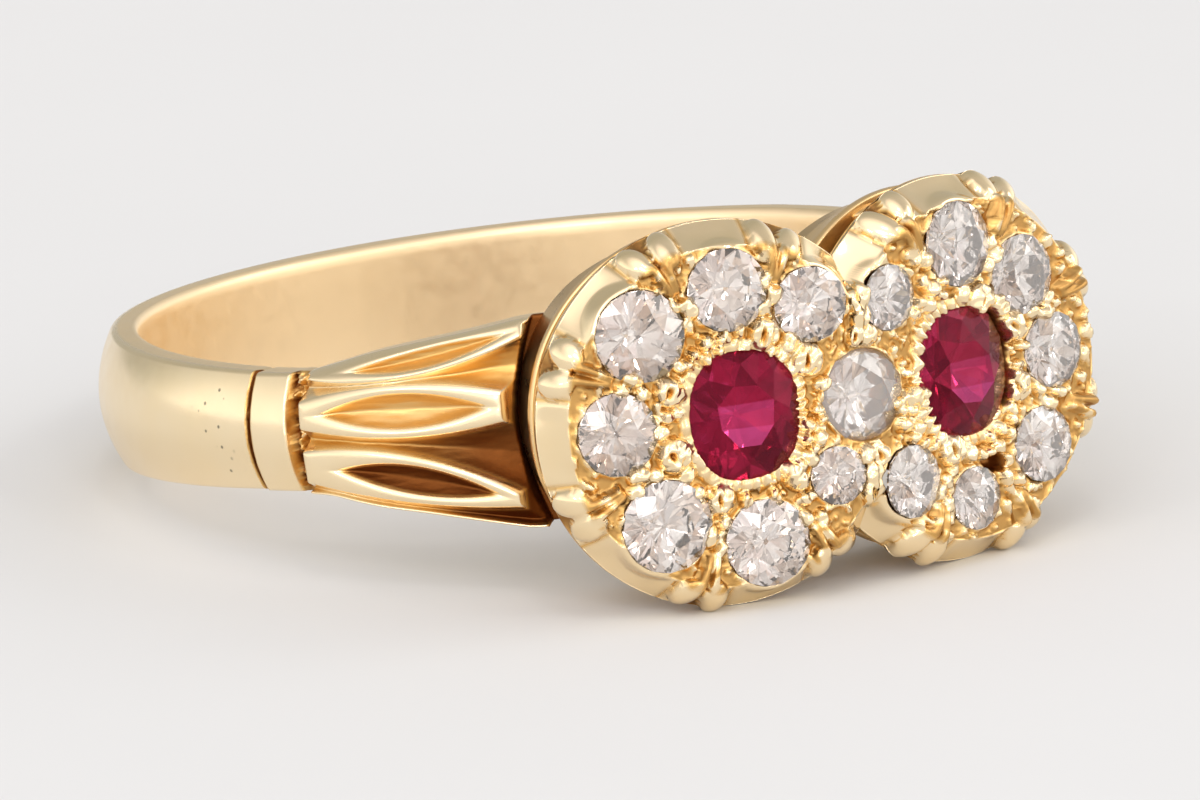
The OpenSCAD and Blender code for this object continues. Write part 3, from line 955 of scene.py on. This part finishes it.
def face_shape(cluster, stones, beads, side):
    """One cluster's face, bevel and rim, closed by a flat underside.

    The relief stands along the normal of the plate or the bevel where it is raised, and straight down
    where it is sunk. Where a seat is cut right through, the upper and under places are one.
    """
    turns, under = 432, cluster.drop + cluster.rim_edge
    phi = np.linspace(0, math.tau, turns, endpoint=False)[:, None]
    rays = face_rays(cluster, phi)
    k, step_down = rays.k, cluster.drop * rays.k
    p, q = draw_to_edges(stones, side * cluster.spread + side * rays.rho * np.cos(phi),
                         rays.rho * np.sin(phi), rays.free)
    x, y = p - side * cluster.spread, q
    top, deep, in_seat, close = sheet_relief(stones, beads, p, q)
    flat = 1 - ease(k, 0.0, 0.12)
    claws, grooves = claw_relief(cluster, claw_list(stones, side), side, x, y, k, rays.past)
    seat = np.minimum(top + step_down, 0)
    ground = np.where(in_seat, np.where(top > 0, top, seat), np.where(top > 0.1, top, top * flat))
    bevel = 0.006 * ripple(p, q, 0.9, 8) * (1 - flat)
    lift = np.where(in_seat, np.where(claws > 0.02, claws, ground),
                    np.where(claws > 0, np.maximum(ground, claws), ground + claws * (1 - flat)) + bevel)
    deep = np.maximum(deep * np.where(in_seat, 1, flat), grooves)
    out = np.where(lift > 0, rays.normal_out * lift, 0)
    top_z = rays.height + np.where(lift > 0, rays.normal_up * lift, lift)
    top_z = top_z + np.where(in_seat | (lift > 0.05), 0, step_down * close)
    top_z = np.maximum(top_z, -under)
    upper = (x + side * np.cos(phi) * out, y + np.sin(phi) * out, top_z)
    through = top_z <= -under + 1e-6
    lower = tuple(np.where(through, a, b) for a, b in zip(upper, (x, y, np.full(x.shape, -under))))
    shells = []
    for part in (upper, lower):
        u, v, w = cluster_to_ring(cluster, side, *part)
        u = kept_on_side(side, u)
        u[:, -1] = np.where(rays.trimmed[:, 0], 0, u[:, -1])
        world = to_world(u, v, w).reshape(-1, 3)
        world[:, 2] = np.maximum(world[:, 2], 0)
        shells.append(world)
    shape, used = closed_sheet(shells, through)
    # Painted shade: the flat underside of the face is painted darker
    under_shade = 0.6
    recess = np.concatenate([deep.ravel(), np.full(x.size, under_shade)])[used]
    return shape, {"recess": recess, "satin": 0.4 * recess}


def kept_on_side(side, u):
    """Places along u, none of them past the fold."""
    return side * np.maximum(side * u, 0)


def closed_sheet(shells, through):
    """Joins the upper and the under places of a sheet that runs round, along its outer edge.

    Where it is cut through, an upper place and its under place are one, and the faces between such
    places are left out. The numbers of the places that are used come with the shape.
    """
    rows, columns = through.shape
    count = rows * columns
    twin = np.where(through.ravel(), np.arange(count), np.arange(count) + count)
    quads = grid_faces(rows, columns, wrap_rows=True).reshape(-1, 4)
    upper = quads[~through.ravel()[quads].all(1)]
    ring = np.arange(rows) * columns + columns - 1
    after = np.roll(ring, -1)
    edge = np.stack([after, ring, twin[ring], twin[after]], -1)
    faces = np.concatenate([upper, twin[upper][:, ::-1], edge])
    used, number = np.unique(faces, return_inverse=True)
    return (np.concatenate(shells)[used], number.reshape(faces.shape), NO_TRIANGLES), used


def fold_limit(cluster, radius, depth):
    """Turn round the middle of the rim, from the way out of the ring, at which a place meets the fold."""
    fold = -(cluster.spread + cluster.shift - depth * math.tan(cluster.lean)) / radius
    return np.where(fold > -1, np.arccos(np.clip(fold, -1, 1)), math.pi)


def under_face(cluster, side, radius, turn, depth):
    """A place under a cluster's face, at a turn round the middle of the rim, as u, v and w."""
    x = side * (cluster.shift + radius * np.cos(turn))
    return cluster_to_ring(cluster, side, x, radius * np.sin(turn), -depth * np.ones_like(turn))


def strip(cluster, side, outline):
    """A closed outline of (radius, depth) carried round the middle of the rim, from fold to fold.

    No place lies inside the finger hole.
    """
    steps = 241
    radius, depth = np.array(outline, float).T
    limit = fold_limit(cluster, radius, depth)
    turn = -limit + 2 * limit * np.linspace(0, 1, steps)[:, None]
    u, v, w = under_face(cluster, side, radius, turn, depth)
    u = kept_on_side(side, u)
    push = np.maximum(1, (BORE + FOOT_LIFT) / np.hypot(u, v))
    return closed_tube(to_world(u * push, v * push, w))


def rounded(low, high, top, bottom, r, points=4):
    """A rectangle of (radius, depth) between two radii and two depths, with round corners."""
    outline = []
    for corner, (a, b) in enumerate(((high, bottom), (low, bottom), (low, top), (high, top))):
        a += -r if a == high else r
        b += -r if b == bottom else r
        for n in range(points):
            turn = math.pi / 2 * (corner + n / (points - 1))
            outline.append((a + r * math.cos(turn), b + r * math.sin(turn)))
    return outline


def gallery_shapes(cluster, side):
    """Under one cluster: the rim's return, the rail, the foot and the pierced wall's posts."""
    rim, wall, rail = cluster.rim, cluster.wall, cluster.rail
    bezel = cluster.drop + cluster.rim_edge
    neck, heel, foot_outer, foot_inner, foot_depth = 3.44, 3.32, 3.3, 2.85, 3.6
    outlines = (
        [(rim - 0.02, bezel - 0.04), (rim - 0.05, bezel + 0.05), (wall + 0.02, bezel + 0.16),
         (wall - 0.3, bezel + 0.16), (wall - 0.34, bezel - 0.04)],
        rounded(wall - 0.32, wall + 0.11, rail - 0.06, rail + 0.16, 0.06),
        [(wall + 0.02, rail + 0.1), (neck, rail + 0.5), (heel, rail + 0.9), (foot_outer, foot_depth),
         (foot_inner, foot_depth), (foot_inner, rail + 0.9), (wall - 0.3, rail + 0.1)])
    shapes = [strip(cluster, side, outline) for outline in outlines]
    window = math.tau / cluster.windows
    last_post = math.radians(150)
    for n in range(cluster.windows):
        middle = (n + 0.5) * window - math.pi
        if abs(middle) < last_post:
            shapes.append(post(cluster, side, middle, 0.2 * window))
    return shapes


def post(cluster, side, middle, half):
    """A post of the pierced wall, waisted between the rim and the rail."""
    steps, corners = 9, 24
    top = cluster.drop + cluster.rim_edge + 0.1
    depth = np.linspace(top, cluster.rail, steps)[:, None]
    waist = 1 - 0.45 * np.sin(math.pi * (depth - top) / (cluster.rail - top))
    around = np.linspace(0, math.tau, corners, endpoint=False)[None]
    square_x, square_y = (np.sign(f(around)) * np.abs(f(around)) ** 0.5 for f in (np.cos, np.sin))
    radius = cluster.wall - 0.16 + 0.15 * square_x
    limit = fold_limit(cluster, radius, depth)
    turn = np.clip(middle + half * waist * square_y, -limit, limit)
    return closed_tube(to_world(*under_face(cluster, side, radius, turn, depth)))


# The stones


# Seeds of the proportions of the diamonds, of the facets of the rubies, and of the tilts
PROPORTION_SEED, RUBY_SEED, TILT_SEED = 100, 50, 300


def cut_shape(half_x, half_y, cut, seed):
    """An old cut: octagonal table, kites, stars, halves, a sixteen-sided girdle, pavilion and culet.

    Rings of places at shares of the girdle's radius: a place at turn t lies on a rounded rectangle when
    squareness is over 0, and the heights are such that the kites are flat. Each facet has a tone of its
    own, from 0, pale, to 1, deep, and the three parts of the table have the tones that are given. The
    higher the depth is, up to 1, the deeper the other facets are. The tones are partly the stone's own
    colour and partly painted light and shade.
    """
    draw = np.random.default_rng(seed)
    eighth = math.tau / 8
    offset = draw.uniform(0, eighth) if cut.squareness == 0 else eighth / 2

    def ring(count, start, radius, z):
        turn = eighth * start + math.tau / count * np.arange(count) + offset
        r = radius * cushion_swell(turn, cut.squareness)
        jitter = draw.normal(0, 0.02, (2, count)) if radius < 0.95 else 0
        flat = np.stack([half_x * r * np.cos(turn), half_y * r * np.sin(turn)]) + jitter * half_x
        return np.stack([*flat, np.full(count, z)], -1)

    width = 2 * half_x
    high, thin, low = cut.crown * width, 0.02 * width, cut.pavilion * width
    star_r, lower_r, culet_r = 0.5 + 0.52 * cut.table, 0.46, 0.05
    kite_slope = (star_r * math.cos(eighth / 2) - cut.table) / (1 - cut.table)
    half_slope = (lower_r * math.cos(eighth / 2) - culet_r) / (1 - culet_r)
    places = np.concatenate([
        ring(8, 0, cut.table, high), ring(8, 0.5, star_r, high - kite_slope * (high - thin)),
        ring(16, 0, 1, thin), ring(16, 0, 1, -thin),
        ring(8, 0.5, lower_r, -low + half_slope * (low - thin)), ring(8, 0, culet_r, -low)])

    # The number of the first place of each ring, from the table down to the culet
    table, star, girdle, belt, lower, culet = 0, 8, 16, 32, 48, 56
    n, m = np.arange(8), np.arange(16)
    after, before, m_after = (n + 1) % 8, (n - 1) % 8, (m + 1) % 16
    even, odd, following = 2 * n, 2 * n + 1, (2 * n + 2) % 16
    octagon = np.array([[0, 1, 2, 3], [0, 3, 4, 7], [4, 5, 6, 7]])
    quads = np.concatenate([
        np.stack([table + n, star + before, girdle + even, star + n], -1),
        np.stack([culet + n, lower + n, belt + even, lower + before], -1),
        np.stack([girdle + m, belt + m, belt + m_after, girdle + m_after], -1),
        octagon + table, octagon[:, ::-1] + culet])
    triangles = np.concatenate([
        np.stack([table + n, star + n, table + after], -1),
        np.stack([star + n, girdle + even, girdle + odd], -1),
        np.stack([star + n, girdle + odd, girdle + following], -1),
        np.stack([lower + n, belt + odd, belt + even], -1),
        np.stack([lower + n, belt + following, belt + odd], -1),
        np.stack([culet + n, culet + after, lower + n], -1)])
    tones = draw.uniform(0, 1, len(quads) + len(triangles)) ** (1.6 * (1 - cut.depth))
    first_cap = len(quads) - 2 * len(octagon)
    tones[first_cap:first_cap + len(octagon)] = cut.table_tone
    return places, quads, triangles, tones


def add_stone(cluster, stone, seed, material, cut):
    """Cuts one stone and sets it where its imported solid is. Most diamonds lie a little out of level."""
    kind = stone.name.split("_")[0]
    most_tilt = 0.04 if stone.side and kind == "diamond" else 0
    places, quads, triangles, tones = cut_shape(stone.half_x, stone.half_y, cut, seed)
    x, y, z = places.T
    tilt_x, tilt_y = np.random.default_rng(TILT_SEED + seed).uniform(-most_tilt, most_tilt, 2)
    z = z + tilt_x * x + tilt_y * y
    if stone.side:
        spot = cluster_to_ring(cluster, stone.side, x + stone.p - stone.side * cluster.spread,
                               y + stone.q, z - stone.low)
    else:
        spot = (x + stone.p, cluster.face - SHARED_LOW + z, y + stone.q)
    new_piece("cut_" + stone.name, [(to_world(*spot), quads, triangles)], material, stone.name,
              tones=tones)


# Operators


class RING_OT_stage(bpy.types.Operator):
    """Lay the floor, light it and set the camera"""

    bl_idname = "ring.stage"
    bl_label = "Stage"

    def execute(self, context):
        stage = settings("stage")
        add_floor(stage)
        add_lights()
        add_camera(stage)
        return {"FINISHED"}


def add_floor(stage):
    """A flat pale floor with a faint unevenness."""
    half = 1.5
    mesh = bpy.data.meshes.new("floor")
    mesh.from_pydata([(-half, -half, 0), (half, -half, 0), (half, half, 0), (-half, half, 0)], [],
                     [(0, 1, 2, 3)])
    material, tree, shader = principled("pale_floor")
    place = add_node(tree, "ShaderNodeTexCoord").outputs["Object"]
    cloud = remap(tree, add_noise(tree, place, FLOOR_CLOUDS), 0.3, 0.7, 0, 1)
    tree.links.new(blend_colours(tree, cloud, stage.floor, stage.floor * 0.985),
                   shader.inputs["Base Color"])
    shader.inputs["Roughness"].default_value = 0.7
    shader.inputs["Specular IOR Level"].default_value = 0.2
    mesh.materials.append(material)
    add_object("floor", mesh)


def aim(thing, place, target):
    """Puts a light or camera at a place, looking at the target, upright."""
    way = np.array(place) - np.array(target)
    back = way / np.linalg.norm(way)
    thing.location = place
    thing.rotation_euler = (math.acos(back[2]), 0, math.atan2(back[0], -back[1]))


def add_area_light(name, place, size, power):
    """A round lamp aimed at the middle of the ring."""
    light = bpy.data.lights.new(name, "AREA")
    light.shape = "DISK"
    light.size = size
    light.energy = power
    aim(add_object(name, light), place, (0, 0, 0.003))


# The tent's brightness, and its colour by height, from the horizon to straight above
TENT_STRENGTH = 1.41
TENT = ((0.0, (1.0, 0.99, 0.97)), (0.3, (0.84, 0.84, 0.83)), (0.6, (0.5, 0.49, 0.48)),
        (1.0, (0.42, 0.41, 0.41)))

# Parts of the tent that are dimmer or brighter: a dim one behind, a bright one in front at the right, and a
# wide soft window at the upper left. Each has a colour, the way it lies in, and the cosines of the
# angles from that way at which it begins and is full.
TENT_PARTS = (
    SimpleNamespace(tint=(0.34, 0.34, 0.32), way=(0.15, 0.9, 0.4), edge=0.6, core=0.88),
    SimpleNamespace(tint=(1.3, 1.25, 1.2), way=(0.65, -0.7, 0.4), edge=0.82, core=0.97),
    SimpleNamespace(tint=(1.12, 1.06, 1.07), way=(-0.5, -0.35, 0.8), edge=0.68, core=0.95),
)

# Places of the small lamps, which put sparks on the stones and the carving
SMALL_LAMPS = ((-0.12, -0.42, 0.3), (0.12, -0.35, 0.38), (-0.4, -0.12, 0.2), (-0.3, -0.38, 0.08),
               (0.05, -0.48, 0.14), (-0.1, -0.2, 0.45))


def add_lights():
    """A tent that is bright at the horizon and dimmer above, two lamps and some small ones.

    The share of each part of the tent grows with the cosine of the angle from the way it lies in.
    """
    scene = bpy.context.scene
    scene.view_settings.view_transform = "Standard"
    world = bpy.data.worlds.new("tent")
    scene.world = world
    world.use_nodes = True
    tree = world.node_tree
    way = add_node(tree, "ShaderNodeTexCoord").outputs["Generated"]
    parts = add_node(tree, "ShaderNodeSeparateXYZ", Vector=way)
    ramp = add_node(tree, "ShaderNodeValToRGB", Fac=parts.outputs["Z"])
    stops = ramp.color_ramp.elements
    stops.remove(stops[-1])
    for n, (position, tint) in enumerate(TENT):
        stop = stops.new(position) if n else stops[0]
        stop.position = position
        stop.color = (*tint, 1)
    sky = ramp.outputs["Color"]
    for part in TENT_PARTS:
        near = add_node(tree, "ShaderNodeVectorMath", Vector=way)
        near.operation = "DOT_PRODUCT"
        near.inputs[1].default_value = np.array(part.way) / np.linalg.norm(part.way)
        amount = remap(tree, near.outputs["Value"], part.edge, part.core, 0, 1)
        sky = blend_colours(tree, amount, sky, part.tint)
    tree.links.new(sky, tree.nodes["Background"].inputs["Color"])
    tree.nodes["Background"].inputs["Strength"].default_value = TENT_STRENGTH
    add_area_light("front_left_lamp", (-0.28, -0.3, 0.3), 0.18, 0.22)
    add_area_light("right_lamp", (0.35, -0.1, 0.25), 0.2, 0.15)
    for n, place in enumerate(SMALL_LAMPS):
        add_area_light(f"small_lamp_{n}", place, 0.04, 0.08)


def add_camera(stage):
    """The camera, at the photograph's angle: turned about the ring, raised, and rolled a little."""
    target = np.array([stage.target_x, 0, stage.target_z]) * MM
    flat = math.cos(stage.elevation)
    back = np.array([math.sin(stage.azimuth) * flat, -math.cos(stage.azimuth) * flat,
                     math.sin(stage.elevation)])
    data = bpy.data.cameras.new("camera")
    data.sensor_width = 36
    data.lens = stage.lens
    data.clip_start = 0.01
    camera = add_object("camera", data)
    aim(camera, target + back * stage.distance * MM, target)
    camera.rotation_euler.rotate_axis("Z", stage.roll)
    bpy.context.scene.camera = camera


class RING_OT_shank(bpy.types.Operator):
    """Shape the band with its collars and leaf shoulders"""

    bl_idname = "ring.shank"
    bl_label = "Band and shoulders"

    def execute(self, context):
        shape, marks = shank_shape(settings("band"))
        new_metal("shank", [shape], marks)
        return {"FINISHED"}


class RING_OT_faces(bpy.types.Operator):
    """Shape the two cluster faces with their seats, grains and claws"""

    bl_idname = "ring.faces"
    bl_label = "Cluster faces"

    def execute(self, context):
        cluster = settings("cluster")
        stones = measured_stones(cluster)
        beads = bead_list(cluster, stones)
        for side, word in SIDES.items():
            shape, marks = face_shape(cluster, stones, beads, side)
            new_metal("face_" + word, [shape], marks)
        return {"FINISHED"}


class RING_OT_galleries(bpy.types.Operator):
    """Shape the pierced gallery and the foot under each cluster"""

    bl_idname = "ring.galleries"
    bl_label = "Galleries"

    def execute(self, context):
        cluster = settings("cluster")
        for side, word in SIDES.items():
            shapes = gallery_shapes(cluster, side)
            level = np.full(sum(len(places) for places, _, _ in shapes), 0.3)
            new_metal("gallery_" + word, shapes, {"recess": level, "satin": level})
        return {"FINISHED"}


# How strongly the stones bend light, and how clear the rubies are
DIAMOND_INDEX, RUBY_INDEX, RUBY_CLEAR = 2.417, 1.77, 0.72

# The diamonds of each cluster and the one between them: how deep their tones are, paler where it is under 0,
# and how clear they are. The deep tones stand partly for flaws and partly for painted reflections of the
# gold
DIAMONDS = {
    LEFT: SimpleNamespace(word="left", depth=1.0, clear=0.95),
    BETWEEN: SimpleNamespace(word="shared", depth=-3.0, clear=0.82),
    RIGHT: SimpleNamespace(word="right", depth=-1.0, clear=0.86),
}


class RING_OT_diamonds(bpy.types.Operator):
    """Cut the diamonds and set them"""

    bl_idname = "ring.diamonds"
    bl_label = "Diamonds"

    def execute(self, context):
        finish, shape, cluster = settings("finish"), settings("stones"), settings("cluster")
        middle = (finish.diamond + finish.diamond_deep) / 2
        gleam = (1, 0.98, 0.95)
        materials = {side: stone_material("old_cut_diamond_" + kind.word, finish.diamond, middle,
                                          finish.diamond_deep, gleam, DIAMOND_INDEX, kind.clear)
                     for side, kind in DIAMONDS.items()}
        diamonds = [s for name, s in measured_stones(cluster).items() if "diamond" in name]
        for seed, stone in enumerate(sorted(diamonds, key=lambda s: s.name)):
            draw = np.random.default_rng(PROPORTION_SEED + seed)
            depth = DIAMONDS[stone.side].depth
            cut = SimpleNamespace(table=shape.diamond_table * draw.uniform(0.92, 1.1),
                                  crown=shape.diamond_crown * draw.uniform(0.9, 1.1),
                                  pavilion=shape.pavilion, squareness=0,
                                  table_tone=draw.uniform(0, 0.7, 3) * depth, depth=0.3 * depth)
            add_stone(cluster, stone, seed, materials[stone.side], cut)
        return {"FINISHED"}


class RING_OT_rubies(bpy.types.Operator):
    """Cut the two rubies and set them"""

    bl_idname = "ring.rubies"
    bl_label = "Rubies"

    def execute(self, context):
        finish, shape, cluster = settings("finish"), settings("stones"), settings("cluster")
        material = stone_material("cushion_ruby", finish.ruby, finish.ruby_middle, finish.ruby_deep,
                                  finish.ruby_gleam, RUBY_INDEX, RUBY_CLEAR)
        # Painted light and shade: part of the table is pale, as if lit, and the other facets are mostly
        # deep, as if shaded
        cut = SimpleNamespace(table=shape.ruby_table, crown=shape.ruby_crown, pavilion=shape.pavilion,
                              squareness=CUSHION, table_tone=(0.6, 0.3, 0.0), depth=0.88)
        for name, stone in measured_stones(cluster).items():
            if "ruby" in name:
                add_stone(cluster, stone, RUBY_SEED + stone.side, material, cut)
        return {"FINISHED"}


OPERATORS = (RING_OT_stage, RING_OT_shank, RING_OT_galleries, RING_OT_faces, RING_OT_diamonds,
             RING_OT_rubies)


class RING_PT_sidebar(bpy.types.Panel):
    """Lists the ring's parts"""

    bl_idname = "RING_PT_sidebar"
    bl_label = "Twin cluster ring"
    bl_space_type = "VIEW_3D"
    bl_region_type = "UI"
    bl_category = "Ring"

    def draw(self, context):
        for operator in OPERATORS:
            self.layout.operator(operator.bl_idname)


GROUPS = {"ring_band": RingBandSettings, "ring_cluster": RingClusterSettings,
          "ring_stones": RingStoneSettings, "ring_finish": RingFinishSettings,
          "ring_stage": RingStageSettings}


def register():
    for item in (*GROUPS.values(), *OPERATORS, RING_PT_sidebar):
        bpy.utils.register_class(item)
    for name, group in GROUPS.items():
        setattr(bpy.types.Scene, name, PointerProperty(type=group))


def unregister():
    for name in GROUPS:
        delattr(bpy.types.Scene, name)
    for item in (RING_PT_sidebar, *reversed(OPERATORS), *GROUPS.values()):
        bpy.utils.unregister_class(item)


def main():
    register()
    for part in ("stage", "shank", "galleries", "faces", "diamonds", "rubies"):
        getattr(bpy.ops.ring, part)()


if __name__ == "__main__":
    main()
